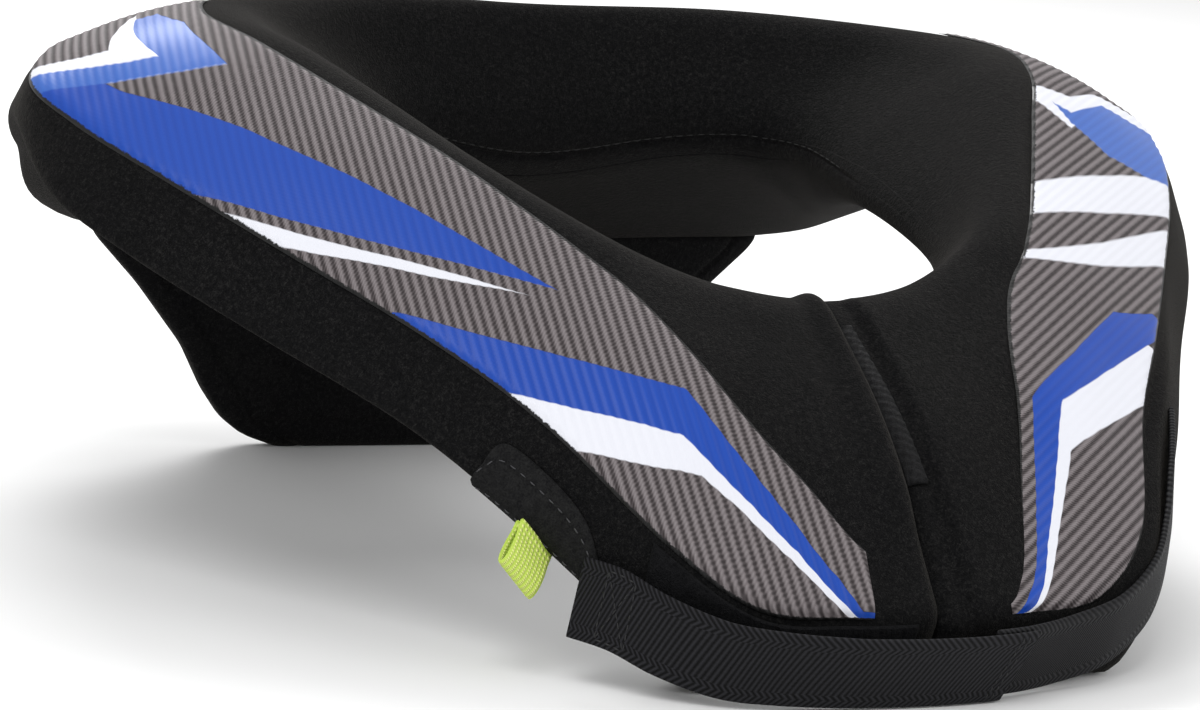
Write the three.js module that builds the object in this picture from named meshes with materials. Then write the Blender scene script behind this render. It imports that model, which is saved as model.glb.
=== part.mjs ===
// Motocross neck brace: a fleece-covered foam collar with a split at the front, two printed
// shoulder panels, a padded tongue behind and a webbing strap that closes the split.
// Millimetres, +Z up, -Y is the wearer's front and +X the wearer's left. It stands on Z = 0.
import * as THREE from 'three';

// Driving dimensions of the collar
const halfWidth = 170; // neck centre line to the tip of a shoulder wing
const neckDepth = 220; // front of the foot to the back of the neck opening
const rimHeight = 120; // foot to the crest of the rear wall, square to the lobes' foot line
const padThickness = 24; // foam of a lobe, square to its face
const restTilt = 4.7; // degrees that the lobes' foot line is tipped when foot and tongue stand
const splitGap = 0.8; // air between the two lobes
const splitRound = 2.5; // rounding of the lobes' edges at the split
const recessWidth = 8; // step in the left lobe that the right lobe closes over
const recessDepth = 2.2;

// Driving dimensions of what is sewn on
const seamGap = 0.4; // air between a sewn piece and the fleece
const panelThickness = 1.2;
const flapThickness = 9;
const strapWidth = 19;
const strapThickness = 1.6;
const strapSeamOverlap = 9; // how far the elastic runs behind the webbing
const tapeThickness = 1.3;
const patchThickness = 1;
const loopWidth = 12;
const loopLength = 15;
const loopThickness = 1.1;
const loopBelly = 6; // outside width of the bent loop at its widest
const loopStation = 3.85; // where it hangs, in stations from the split
const loopSample = 1.4; // and how far round the foot, in section samples
const loopHang = [-0.61, -0.65, -0.45]; // the way it points, out and down
const loopAcross = [0.67, -0.15, -0.73]; // the way its width runs

// Rounding of each corner of a section, in millimetres, and the samples on it
const cornerRound = { hole: 9, seam: 22, crest: 13, top: 34, edge: 5, foot: 7, heel: 6, arch: 16 };
const cornerNames = Object.keys(cornerRound);
const samplesPerCorner = 4;
const sectionSamples = cornerNames.length * samplesPerCorner;
const stepsPerStation = 3;

// The collar's stations, from the split (first row) round one side to the middle of the back
// (last row). Each corner is [share of halfWidth, share of neckDepth, share of rimHeight], and
// swell is the crown of the upper face, in padThickness. A foot or heel below the ground is
// brought up to it.
const stations = [
  { hole: [0.0, 0.38, 0.475], seam: [0.0, 0.365, 0.565], crest: [0.0, 0.325, 0.66], swell: 0.3,
    edge: [0.0, -0.01, 0.172], foot: [0.0, 0.015, -0.1], heel: [0.0, 0.1, -0.1], arch: [0.0, 0.25, 0.24] },
  { hole: [0.07, 0.38, 0.485], seam: [0.065, 0.365, 0.575], crest: [0.06, 0.325, 0.665], swell: 0.3,
    edge: [0.14, -0.006, 0.17], foot: [0.147, 0.023, -0.1], heel: [0.145, 0.1, -0.1], arch: [0.1, 0.255, 0.25] },
  { hole: [0.14, 0.39, 0.51], seam: [0.13, 0.37, 0.59], crest: [0.12, 0.33, 0.675], swell: 0.3,
    edge: [0.28, 0.014, 0.178], foot: [0.272, 0.045, -0.1], heel: [0.26, 0.115, -0.1], arch: [0.2, 0.265, 0.29] },
  { hole: [0.21, 0.41, 0.54], seam: [0.195, 0.38, 0.615], crest: [0.175, 0.345, 0.685], swell: 0.28,
    edge: [0.395, 0.074, 0.28], foot: [0.405, 0.075, 0.075], heel: [0.345, 0.145, 0.08], arch: [0.28, 0.285, 0.39] },
  { hole: [0.275, 0.44, 0.575], seam: [0.27, 0.41, 0.66], crest: [0.25, 0.365, 0.715], swell: 0.25,
    edge: [0.505, 0.215, 0.44], foot: [0.54, 0.195, 0.245], heel: [0.475, 0.24, 0.26], arch: [0.37, 0.35, 0.475] },
  { hole: [0.325, 0.485, 0.6], seam: [0.33, 0.46, 0.685], crest: [0.335, 0.4, 0.77], swell: 0.18,
    edge: [0.62, 0.33, 0.55], foot: [0.66, 0.305, 0.37], heel: [0.59, 0.34, 0.395], arch: [0.45, 0.42, 0.555] },
  { hole: [0.355, 0.545, 0.62], seam: [0.36, 0.545, 0.69], crest: [0.43, 0.485, 0.845], swell: 0.14,
    edge: [0.76, 0.475, 0.65], foot: [0.81, 0.455, 0.475], heel: [0.73, 0.47, 0.5], arch: [0.55, 0.51, 0.61] },
  { hole: [0.365, 0.635, 0.64], seam: [0.37, 0.645, 0.715], crest: [0.54, 0.62, 0.93], swell: 0.14,
    edge: [0.88, 0.605, 0.735], foot: [0.93, 0.585, 0.565], heel: [0.85, 0.6, 0.59], arch: [0.6, 0.615, 0.68] },
  { hole: [0.38, 0.73, 0.635], seam: [0.37, 0.75, 0.735], crest: [0.62, 0.725, 0.99], swell: 0.14,
    edge: [0.96, 0.72, 0.795], foot: [1.0, 0.705, 0.64], heel: [0.92, 0.715, 0.66], arch: [0.63, 0.715, 0.72] },
  { hole: [0.44, 0.85, 0.575], seam: [0.35, 0.845, 0.745], crest: [0.65, 0.83, 1.005], swell: 0.12,
    edge: [0.975, 0.825, 0.84], foot: [0.98, 0.86, 0.73], heel: [0.905, 0.85, 0.71], arch: [0.67, 0.835, 0.69] },
  { hole: [0.56, 1.0, 0.485], seam: [0.29, 0.925, 0.725], crest: [0.57, 0.935, 0.995], swell: 0.1,
    edge: [0.82, 0.97, 0.87], foot: [0.88, 1.035, 0.61], heel: [0.825, 1.01, 0.585], arch: [0.7, 0.985, 0.56] },
  { hole: [0.61, 1.18, 0.365], seam: [0.175, 0.975, 0.675], crest: [0.32, 1.03, 0.98], swell: 0.1,
    edge: [0.47, 1.11, 0.87], foot: [0.645, 1.25, 0.36], heel: [0.63, 1.23, 0.345], arch: [0.615, 1.205, 0.35] },
  { hole: [0.0, 1.19, 0.345], seam: [0.0, 0.98, 0.635], crest: [0.0, 1.055, 0.965], swell: 0.1,
    edge: [0.0, 1.135, 0.855], foot: [0.0, 1.255, 0.345], heel: [0.0, 1.235, 0.33], arch: [0.0, 1.21, 0.33] },
];
const backStation = stations.length - 1;
const lastStation = 2 * backStation;

// Where a printed panel's inner edge runs: station, share of the way from crest to edge
const panelInnerEdge = [
  { station: 0.8, share: 0.98 }, { station: 1, share: 0.86 }, { station: 1.3, share: 0.71 },
  { station: 2, share: 0.53 }, { station: 3, share: 0.35 }, { station: 4, share: 0.21 },
  { station: 5, share: 0.13 }, { station: 6, share: 0.08 }, { station: 8, share: 0.09 },
  { station: 9.7, share: 0.1 },
];

// The tongue's border, from its foot up: half width in halfWidth, height above the ground in
// rimHeight. Its top row is just below the rear wall.
const flapBorder = [
  { half: 0.25, height: 0 }, { half: 0.31, height: 0.025 }, { half: 0.355, height: 0.07 },
  { half: 0.395, height: 0.14 }, { half: 0.44, height: 0.245 }, { half: 0.53, height: 0.39 },
  { half: 0.585, height: 0.465 }, { half: 0.613, height: 0.503 },
];

// The strap's lower edge, from its free end on the wearer's right round the front to where it
// is sewn on the wearer's left: shares as in the stations, and the lean of its upper edge away
// from the collar, in degrees.
const strapRoute = [
  { at: [-0.496, 0.118, 0.072], lean: -12 },
  { at: [-0.46, 0.078, 0.068], lean: -11 },
  { at: [-0.412, 0.038, 0.041], lean: -5 },
  { at: [-0.341, 0.003, 0.018], lean: 5 },
  { at: [-0.262, -0.014, 0.012], lean: 11 },
  { at: [-0.165, -0.026, 0.01], lean: 15 },
  { at: [-0.07, -0.031, 0.01], lean: 16 },
  { at: [0.02, -0.03, 0.01], lean: 16 },
  { at: [0.11, -0.022, 0.01], lean: 15 },
  { at: [0.2, -0.006, 0.014], lean: 12 },
  { at: [0.308, 0.014, 0.035], lean: 8 },
  { at: [0.402, 0.05, 0.08], lean: 3 },
  { at: [0.465, 0.089, 0.135], lean: -3 },
  { at: [0.53, 0.15, 0.21], lean: -7 },
  { at: [0.572, 0.196, 0.255], lean: -8 },
  { at: [0.604, 0.236, 0.295], lean: -9 },
];
const strapSeamShare = 0.53; // how far along the route the webbing meets the elastic

function material(color, roughness) {
  return new THREE.MeshStandardMaterial({ color, roughness, metalness: 0 });
}

const fleece = material('#17181a', 0.95);
const ribbedFabric = material('#6a6064', 0.6);
const webbing = material('#1d1d21', 0.8);
const hookTape = material('#121214', 0.9);
const suede = material('#1a1a1c', 0.9);
const limeWebbing = material('#b9dc55', 0.7);

function scaled([across, back, up]) {
  return new THREE.Vector3(across * halfWidth, back * neckDepth, up * rimHeight);
}

// The height of the ground under a place, before the collar is tipped to stand on it
function groundHeight(back) {
  return -back * Math.tan(THREE.MathUtils.degToRad(restTilt));
}

function smoothStep(low, high, value) {
  const t = Math.min(Math.max((value - low) / (high - low), 0), 1);
  return t * t * (3 - 2 * t);
}

// A smooth line through one corner of all stations, round the whole collar
function guideLine(corner) {
  const side = stations.map((row) => {
    const point = scaled(row[corner]);
    point.x += splitGap / 2;
    return point;
  });
  side[backStation].x = 0;
  const otherSide = side.slice(0, backStation).reverse().map((p) => new THREE.Vector3(-p.x, p.y, p.z));
  return new THREE.CatmullRomCurve3([...side, ...otherSide], false, 'catmullrom', 0.5);
}

const guides = Object.fromEntries(
  cornerNames.filter((corner) => corner !== 'top').map((corner) => [corner, guideLine(corner)]));

function alongStations(column, station) {
  const onOneSide = Math.min(station, lastStation - station);
  const row = Math.min(Math.floor(onOneSide), backStation - 1);
  return THREE.MathUtils.lerp(stations[row][column], stations[row + 1][column], onOneSide - row);
}

// The eight corners of the section at a station, before rounding
function sectionCorners(station) {
  const corners = Object.fromEntries(Object.entries(guides).map(
    ([name, guide]) => [name, guide.getPoint(station / lastStation)]));
  corners.foot.z = Math.max(corners.foot.z, groundHeight(corners.foot.y));
  corners.heel.z = Math.max(corners.heel.z, groundHeight(corners.heel.y));
  const across = new THREE.Vector3().subVectors(corners.edge, corners.crest);
  const run = Math.hypot(across.x, across.y);
  const crown = new THREE.Vector3(-across.x * across.z / run, -across.y * across.z / run, run).normalize();
  corners.top = corners.crest.clone().lerp(corners.edge, 0.5)
    .addScaledVector(crown, alongStations('swell', station) * padThickness);
  return cornerNames.map((name) => corners[name]);
}

// A closed ring of points: each corner becomes a short curve that touches both of its sides
function roundedSection(corners) {
  const points = [];
  corners.forEach((corner, index) => {
    const before = corners[(index + corners.length - 1) % corners.length];
    const after = corners[(index + 1) % corners.length];
    const round = cornerRound[cornerNames[index]];
    const reach = (end) => Math.min(round, 0.44 * corner.distanceTo(end)) / corner.distanceTo(end);
    const start = corner.clone().lerp(before, reach(before));
    const finish = corner.clone().lerp(after, reach(after));
    const bend = new THREE.QuadraticBezierCurve3(start, corner, finish);
    for (let sample = 0; sample < samplesPerCorner; sample += 1) {
      points.push(bend.getPoint(sample / (samplesPerCorner - 1)));
    }
  });
  return points;
}

// Moves points of a section near the split inwards, square to the section's own outline
function insetSection(points, amountAt) {
  const count = points.length;
  return points.map((point, index) => {
    const along = points[(index + 1) % count].clone().sub(points[(index + count - 1) % count]);
    const inward = new THREE.Vector3(0, -along.z, along.y).normalize();
    return point.clone().addScaledVector(inward, amountAt(index, point));
  });
}

const topStart = cornerNames.indexOf('crest') * samplesPerCorner;
const topEnd = cornerNames.indexOf('edge') * samplesPerCorner;

// The step in the wearer's left lobe, beside the split, that the other lobe closes over
function recessAt(station, index, point) {
  if (station > 1 || index < topStart || index > topEnd + samplesPerCorner) {
    return 0;
  }
  const endFade = smoothStep(topStart, topStart + 2, index) * (1 - smoothStep(topEnd, topEnd + 3, index));
  return recessDepth * endFade * (1 - smoothStep(recessWidth - 1, recessWidth + 2, point.x));
}

function sectionAt(station) {
  const points = roundedSection(sectionCorners(station));
  const fromSplit = Math.min(station, lastStation - station);
  if (fromSplit >= 1) {
    return points;
  }
  const round = splitRound * (1 - Math.sqrt(1 - (1 - smoothStep(0, 0.24, fromSplit)) ** 2));
  return insetSection(points, (index, point) => round + recessAt(station, index, point));
}

function geometryFrom(positions, triangles) {
  const geometry = new THREE.BufferGeometry();
  geometry.setAttribute('position', new THREE.Float32BufferAttribute(positions.flatMap((p) => p.toArray()), 3));
  geometry.setIndex(triangles);
  geometry.computeVertexNormals();
  return geometry;
}

function signedVolume(positions, triangles) {
  let volume = 0;
  for (let i = 0; i < triangles.length; i += 3) {
    const [a, b, c] = [0, 1, 2].map((k) => positions[triangles[i + k]]);
    volume += a.dot(b.clone().cross(c)) / 6;
  }
  return volume;
}

// A closed body from rings of points of equal count, with a flat cap at each end
function loft(rings) {
  const count = rings[0].length;
  const positions = rings.flat();
  const triangles = [];
  for (let ring = 0; ring < rings.length - 1; ring += 1) {
    for (let i = 0; i < count; i += 1) {
      const [a, b] = [ring * count + i, ring * count + (i + 1) % count];
      triangles.push(a, b, b + count, a, b + count, a + count);
    }
  }
  const last = (rings.length - 1) * count;
  for (const [i, j, k] of capTriangles(rings[0])) {
    triangles.push(j, i, k);
  }
  for (const [i, j, k] of capTriangles(rings[rings.length - 1])) {
    triangles.push(last + i, last + j, last + k);
  }
  if (signedVolume(positions, triangles) < 0) {
    triangles.reverse();
  }
  return geometryFrom(positions, triangles);
}

// Triangles across one ring, found in the plane that it lies in
function capTriangles(ring) {
  const middle = ring.reduce((sum, p) => sum.add(p), new THREE.Vector3()).divideScalar(ring.length);
  const normal = new THREE.Vector3();
  ring.forEach((p, i) => {
    const next = ring[(i + 1) % ring.length];
    normal.add(p.clone().sub(middle).cross(next.clone().sub(middle)));
  });
  normal.normalize();
  const across = ring[0].clone().sub(middle).projectOnPlane(normal).normalize();
  const up = normal.clone().cross(across);
  const flat = ring.map((p) => {
    const offset = p.clone().sub(middle);
    return new THREE.Vector2(offset.dot(across), offset.dot(up));
  });
  return THREE.ShapeUtils.triangulateShape(flat, []);
}

function collarStations() {
  const nearSplit = [0, 0.06, 0.14, 0.24, 0.36, 0.5, 0.66, 0.83];
  const side = [...nearSplit];
  for (let i = stepsPerStation; i <= backStation * stepsPerStation; i += 1) {
    side.push(i / stepsPerStation);
  }
  return [...side, ...side.slice(0, -1).reverse().map((station) => lastStation - station)];
}

function makeCollar() {
  return loft(collarStations().map(sectionAt));
}

// A point on the collar's skin: station round the collar, sample along the section
function skinPoint(station, sample) {
  const section = sectionAt(station);
  const low = Math.floor(sample);
  return section[low % sectionSamples].clone().lerp(section[(low + 1) % sectionSamples], sample - low);
}

function skinNormal(station, sample) {
  const step = 0.1;
  const round = skinPoint(Math.min(station + step, lastStation), sample)
    .sub(skinPoint(Math.max(station - step, 0), sample));
  const along = skinPoint(station, sample + 0.6).sub(skinPoint(station, sample - 0.6));
  return along.cross(round).normalize();
}

// The sample at a share of the way between two samples, by length along the section
function sampleAtShare(station, from, to, share) {
  const section = sectionAt(station);
  const lengths = [];
  for (let sample = from; sample < to; sample += 1) {
    lengths.push(section[sample].distanceTo(section[sample + 1]));
  }
  let left = THREE.MathUtils.clamp(share, 0, 1) * lengths.reduce((sum, length) => sum + length, 0);
  let step = 0;
  while (step < lengths.length - 1 && left > lengths[step]) {
    left -= lengths[step];
    step += 1;
  }
  return from + step + left / lengths[step];
}

// A thin closed sheet over part of the skin, from one lift above it to another
function skinPatch({ from, to, steps, low, high, rows, lift, thickness }) {
  const rings = [];
  for (let i = 0; i <= steps; i += 1) {
    const station = THREE.MathUtils.lerp(from, to, i / steps);
    const inside = [];
    const outside = [];
    for (let row = 0; row <= rows; row += 1) {
      const sample = THREE.MathUtils.lerp(low(station), high(station), row / rows);
      const point = skinPoint(station, sample);
      const normal = skinNormal(station, sample);
      inside.push(point.clone().addScaledVector(normal, lift));
      outside.push(point.clone().addScaledVector(normal, lift + thickness));
    }
    rings.push([...inside, ...outside.reverse()]);
  }
  return loft(rings);
}

function interpolate(rows, column, station) {
  const after = rows.findIndex((row) => row.station > station);
  const next = after < 0 ? rows.length - 1 : Math.max(after, 1);
  const [a, b] = [rows[next - 1], rows[next]];
  const share = THREE.MathUtils.clamp((station - a.station) / (b.station - a.station), 0, 1);
  return THREE.MathUtils.lerp(a[column], b[column], share);
}

// The ribbed and printed panel on the wearer's left lobe, or mirrored on the right one
function makePanel(side) {
  const first = panelInnerEdge[0].station;
  const last = panelInnerEdge[panelInnerEdge.length - 1].station;
  const crestOut = topStart + samplesPerCorner - 2;
  const ownSide = (station) => Math.min(station, lastStation - station);
  return skinPatch({
    from: side > 0 ? first : lastStation - first,
    to: side > 0 ? last : lastStation - last,
    steps: 36,
    low: (station) => sampleAtShare(
      station, crestOut, topEnd, interpolate(panelInnerEdge, 'share', ownSide(station))),
    high: () => topEnd + 1.5,
    rows: 7,
    lift: seamGap,
    thickness: panelThickness,
  });
}

// The padded tongue behind, which goes on below the rear wall: half widths down its border
function makeFlap() {
  const back = stations[backStation];
  const front = (back.hole[1] + back.foot[1]) / 2 * neckDepth - flapThickness / 2;
  const faces = [[0, 2.4], [0.12, 0.8], [0.32, 0], [0.68, 0], [0.88, 0.8], [1, 2.4]];
  const rings = faces.map(([share, inset]) => {
    const depth = front + share * flapThickness;
    const ground = groundHeight(depth);
    const side = flapBorder.map(({ half, height }) => [
      half * halfWidth - inset, Math.max(ground + height * rimHeight - (height > 0.5 ? inset : 0), ground)]);
    const corner = side.findLastIndex(([, height]) => height === ground);
    side.forEach((point, row) => { point[0] += row <= corner ? inset : 0; });
    return [...side, ...side.slice().reverse().map(([half, height]) => [-half, height])]
      .map(([across, height]) => new THREE.Vector3(across, depth, height));
  });
  return loft(rings);
}

// A flat band along a line of lower-edge points, standing at its own lean
function makeBand(line, width, thickness, depthInside) {
  const rings = line.map(({ point, outward, lean }) => {
    const angle = THREE.MathUtils.degToRad(lean);
    const across = outward.clone().multiplyScalar(Math.sin(angle)).add(new THREE.Vector3(0, 0, Math.cos(angle)));
    const through = outward.clone().multiplyScalar(Math.cos(angle)).add(new THREE.Vector3(0, 0, -Math.sin(angle)));
    const corner = (up, out) => point.clone().addScaledVector(across, up).addScaledVector(through, out - depthInside);
    return [corner(0, 0), corner(width, 0), corner(width, thickness), corner(0, thickness)];
  });
  return loft(rings);
}

// Points, outward directions and leans at equal steps between two shares of the strap's route
function strapLine(fromShare, toShare, steps) {
  const route = new THREE.CatmullRomCurve3(strapRoute.map((row) => scaled(row.at)), false, 'catmullrom', 0.5);
  const line = [];
  for (let i = 0; i <= steps; i += 1) {
    const share = THREE.MathUtils.lerp(fromShare, toShare, i / steps);
    const place = share * (strapRoute.length - 1);
    const row = Math.min(Math.floor(place), strapRoute.length - 2);
    const lean = THREE.MathUtils.lerp(strapRoute[row].lean, strapRoute[row + 1].lean, place - row);
    const tangent = route.getTangent(share);
    const outward = new THREE.Vector3(tangent.y, -tangent.x, 0).normalize();
    line.push({ point: route.getPoint(share), outward, lean });
  }
  return line;
}

function makeStrap() {
  return makeBand(strapLine(0, strapSeamShare, 26), strapWidth, strapThickness, 0);
}

function makeElastic() {
  const routeLength = new THREE.CatmullRomCurve3(strapRoute.map((row) => scaled(row.at))).getLength();
  const start = strapSeamShare - strapSeamOverlap / routeLength;
  return makeBand(strapLine(start, 1, 24), strapWidth, strapThickness, strapThickness + seamGap);
}

const wallTop = cornerNames.indexOf('edge') * samplesPerCorner + samplesPerCorner - 1;
const wallFoot = cornerNames.indexOf('foot') * samplesPerCorner;

// Hook-and-loop tape on the wearer's right lobe, behind the strap
function makeStrapTape() {
  return skinPatch({
    from: lastStation - 3.1, to: lastStation - 0.3, steps: 14,
    low: () => wallTop - 1, high: () => wallFoot + 0.4, rows: 4,
    lift: seamGap, thickness: tapeThickness,
  });
}

// Sewn patch over the lower edge of the wearer's right lobe
function makePatch() {
  return skinPatch({
    from: lastStation - 4.42, to: lastStation - 3.4, steps: 8,
    low: (station) => wallTop + 0.35 + 0.5 * Math.abs(lastStation - station - 4), high: () => wallFoot + 2.6, rows: 7,
    lift: seamGap, thickness: patchThickness,
  });
}

// Hook strip in the step beside the split
function makeSplitTape() {
  return skinPatch({
    from: 0.05, to: 0.3, steps: 3,
    low: () => topStart + 2.8, high: () => topEnd - 1.6, rows: 6,
    lift: seamGap, thickness: tapeThickness,
  });
}

// Webbing loop under the patch: both ends sewn at the collar's foot, its belly hanging down
function makePullLoop() {
  const station = lastStation - loopStation;
  const sample = wallFoot + loopSample;
  const lift = seamGap + patchThickness + seamGap + 0.5;
  const root = skinPoint(station, sample).addScaledVector(skinNormal(station, sample), lift);
  const down = new THREE.Vector3(...loopHang).normalize();
  const along = new THREE.Vector3(...loopAcross);
  along.addScaledVector(down, -down.dot(along)).normalize();
  const across = down.clone().cross(along);
  const steps = 18;
  const outline = (inset) => {
    const points = [];
    for (let i = 0; i <= steps; i += 1) {
      const turn = (i / steps) * Math.PI;
      const belly = Math.max((loopBelly / 2 - inset) * Math.sin(turn) ** 0.6, 0);
      const half = Math.max(belly, loopThickness + 0.15 - inset) * Math.cos(turn);
      const drop = (loopLength - inset) * Math.sin(turn / 1) ** 0.9;
      points.push([half, drop]);
    }
    return points;
  };
  const place = ([half, drop], wide) => root.clone().addScaledVector(down, drop)
    .addScaledVector(across, half).addScaledVector(along, wide);
  const [outer, inner] = [outline(0), outline(loopThickness)];
  const rings = outer.map((point, i) => [
    place(point, -loopWidth / 2), place(point, loopWidth / 2),
    place(inner[i], loopWidth / 2), place(inner[i], -loopWidth / 2)]);
  return loft(rings);
}

const group = new THREE.Group();

function add(name, geometry, surface) {
  const mesh = new THREE.Mesh(geometry, surface);
  mesh.name = name;
  group.add(mesh);
}

add('collar', makeCollar(), fleece);
add('back_flap', makeFlap(), fleece);
add('print_panel_left', makePanel(1), ribbedFabric);
add('print_panel_right', makePanel(-1), ribbedFabric);
add('closure_strap', makeStrap(), webbing);
add('strap_elastic', makeElastic(), webbing);
add('strap_hook_tape', makeStrapTape(), hookTape);
add('strap_patch', makePatch(), suede);
add('pull_loop', makePullLoop(), limeWebbing);
add('split_hook_tape', makeSplitTape(), hookTape);

// The origin is on the ground, under the middle of the whole part
group.rotation.x = THREE.MathUtils.degToRad(restTilt);
const box = new THREE.Box3().setFromObject(group, true);
group.position.set(0, -(box.min.y + box.max.y) / 2, -box.min.z);

export default group;
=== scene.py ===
# %% [markdown]
# A soft motocross neck brace, built as a lesson in computed surfaces. The real one is a moulded
# foam collar in black fleece, with ribbed printed cloth on its shoulders and a webbing strap in
# front. Every soft piece here is a function of two parameters on a grid, worked out with numpy.

# %% Tools and the frame
import math

import bmesh
import bpy
import numpy as np
from mathutils import Matrix, Vector


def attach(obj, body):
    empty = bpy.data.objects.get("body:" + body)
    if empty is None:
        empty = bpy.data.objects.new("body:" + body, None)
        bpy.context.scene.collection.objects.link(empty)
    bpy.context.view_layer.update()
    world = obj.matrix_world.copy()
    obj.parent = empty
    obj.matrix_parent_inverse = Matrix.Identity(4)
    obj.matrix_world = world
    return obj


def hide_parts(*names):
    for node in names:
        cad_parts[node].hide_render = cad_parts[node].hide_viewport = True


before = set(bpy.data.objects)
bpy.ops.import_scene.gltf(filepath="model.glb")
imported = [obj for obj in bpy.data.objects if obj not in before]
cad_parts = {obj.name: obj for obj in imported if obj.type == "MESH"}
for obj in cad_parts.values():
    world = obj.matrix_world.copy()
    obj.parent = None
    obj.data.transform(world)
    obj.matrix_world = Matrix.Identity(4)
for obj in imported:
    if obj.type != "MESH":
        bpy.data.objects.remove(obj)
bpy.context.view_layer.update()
scene = bpy.context.scene
print("CAD nodes:", sorted(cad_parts))

# %% [markdown]
# The camera comes first. The photograph was taken with a long lens from the wearer's front and a
# little to the right, about ten degrees above the ground, and it leans six degrees: a matrix
# with three square directions holds all of that at once.

# %% The camera
IMAGE_SIZE = (1200, 710)
FOCAL_PIXELS = 4300
SENSOR_WIDTH = 36.0
CAMERA_PLACE = (-0.5696, -0.9287, 0.2472)

camera_data = bpy.data.cameras.new("camera")
camera_data.sensor_width = SENSOR_WIDTH
camera_data.lens = FOCAL_PIXELS / IMAGE_SIZE[0] * SENSOR_WIDTH
camera_data.clip_end = 20
camera = bpy.data.objects.new("camera", camera_data)
scene.collection.objects.link(camera)
scene.camera = camera

toward_camera = Vector((-0.5001, -0.8480, 0.1756)).normalized()
camera_right = Vector((0.8660, -0.4897, 0.1014))
camera_right = (camera_right - toward_camera * camera_right.dot(toward_camera)).normalized()
camera_up = toward_camera.cross(camera_right)
camera.matrix_world = Matrix([
    (camera_right[k], camera_up[k], toward_camera[k], CAMERA_PLACE[k]) for k in range(3)]
    + [(0, 0, 0, 1)])
print("camera at", [round(value, 3) for value in camera.location])

# %% [markdown]
# The collar is a ring of cross-sections, called stations. Each has eight corners, and the table
# holds them as shares of three named sizes, from the split in front round to the middle of the
# back. The other half is its mirror image, so it isn't listed.

# %% Sizes of the collar, in millimetres
HALF_WIDTH = 170.0
NECK_DEPTH = 220.0
RIM_HEIGHT = 120.0
PAD_THICKNESS = 24.0
REST_TILT = math.radians(4.7)
SPLIT_GAP = 0.8
SPLIT_ROUND = 2.5
RECESS_WIDTH = 8.0
RECESS_DEPTH = 2.2
SIZES = np.array([HALF_WIDTH, NECK_DEPTH, RIM_HEIGHT])
GROUND_SHIFT = -129.593

CORNERS = ("hole", "seam", "crest", "top", "edge", "foot", "heel", "arch")
CORNER_ROUND = np.array([9.0, 22, 13, 34, 5, 7, 6, 16])
Q_WHOLE = 4 * len(CORNERS)

stations = {
    "hole": [(0, .38, .475), (.07, .38, .485), (.14, .39, .51), (.21, .41, .54), (.275, .44, .575),
             (.325, .485, .6), (.355, .545, .62), (.365, .635, .64), (.38, .73, .635),
             (.44, .85, .575), (.56, 1, .485), (.61, 1.18, .365), (0, 1.19, .345)],
    "seam": [(0, .365, .565), (.065, .365, .575), (.13, .37, .59), (.195, .38, .615),
             (.27, .41, .66), (.33, .46, .685), (.36, .545, .69), (.37, .645, .715),
             (.37, .75, .735), (.35, .845, .745), (.29, .925, .725), (.175, .975, .675),
             (0, .98, .635)],
    "crest": [(0, .325, .66), (.06, .325, .665), (.12, .33, .675), (.175, .345, .685),
              (.25, .365, .715), (.335, .4, .77), (.43, .485, .845), (.54, .62, .93),
              (.62, .725, .99), (.65, .83, 1.005), (.57, .935, .995), (.32, 1.03, .98),
              (0, 1.055, .965)],
    "edge": [(0, -.01, .172), (.14, -.006, .17), (.28, .014, .178), (.395, .074, .28),
             (.505, .215, .44), (.62, .33, .55), (.76, .475, .65), (.88, .605, .735),
             (.96, .72, .795), (.975, .825, .84), (.82, .97, .87), (.47, 1.11, .87),
             (0, 1.135, .855)],
    "foot": [(0, .015, -.1), (.147, .023, -.1), (.272, .045, -.1), (.405, .075, .075),
             (.54, .195, .245), (.66, .305, .37), (.81, .455, .475), (.93, .585, .565),
             (1, .705, .64), (.98, .86, .73), (.88, 1.035, .61), (.645, 1.25, .36),
             (0, 1.255, .345)],
    "heel": [(0, .1, -.1), (.145, .1, -.1), (.26, .115, -.1), (.345, .145, .08),
             (.475, .24, .26), (.59, .34, .395), (.73, .47, .5), (.85, .6, .59),
             (.92, .715, .66), (.905, .85, .71), (.825, 1.01, .585), (.63, 1.23, .345),
             (0, 1.235, .33)],
    "arch": [(0, .25, .24), (.1, .255, .25), (.2, .265, .29), (.28, .285, .39),
             (.37, .35, .475), (.45, .42, .555), (.55, .51, .61), (.6, .615, .68),
             (.63, .715, .72), (.67, .835, .69), (.7, .985, .56), (.615, 1.205, .35),
             (0, 1.21, .33)],
}
SWELL = np.array([.3, .3, .3, .28, .25, .18, .14, .14, .14, .12, .1, .1, .1])
BACK_STATION = len(SWELL) - 1
LAST_STATION = 2 * BACK_STATION
print("stations round the collar:", LAST_STATION + 1)

# %% [markdown]
# A smooth line through the same corner of all stations is a Catmull-Rom spline. It passes through
# each row, and its slope there is half the step between the two rows beside it.

# %% Smooth lines through the table
def spline(rows, place):
    """Points on a curve through rows at the given places (0 is the first row). Between rows a and
    b, with slopes m and n, it is the cubic (2t3-3t2+1)a + (t3-2t2+t)m + (-2t3+3t2)b + (t3-t2)n,
    and beyond each end the first or last step is repeated."""
    rows = np.asarray(rows, float)
    padded = np.concatenate([[2 * rows[0] - rows[1]], rows, [2 * rows[-1] - rows[-2]]])
    start = np.clip(np.floor(place).astype(int), 0, len(rows) - 2)
    t = (place - start)[:, None]
    before, a, b, after = (padded[start + k] for k in range(4))
    m, n = (b - before) / 2, (after - a) / 2
    return ((2 * t**3 - 3 * t**2 + 1) * a + (t**3 - 2 * t**2 + t) * m
            + (-2 * t**3 + 3 * t**2) * b + (t**3 - t**2) * n)


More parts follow.
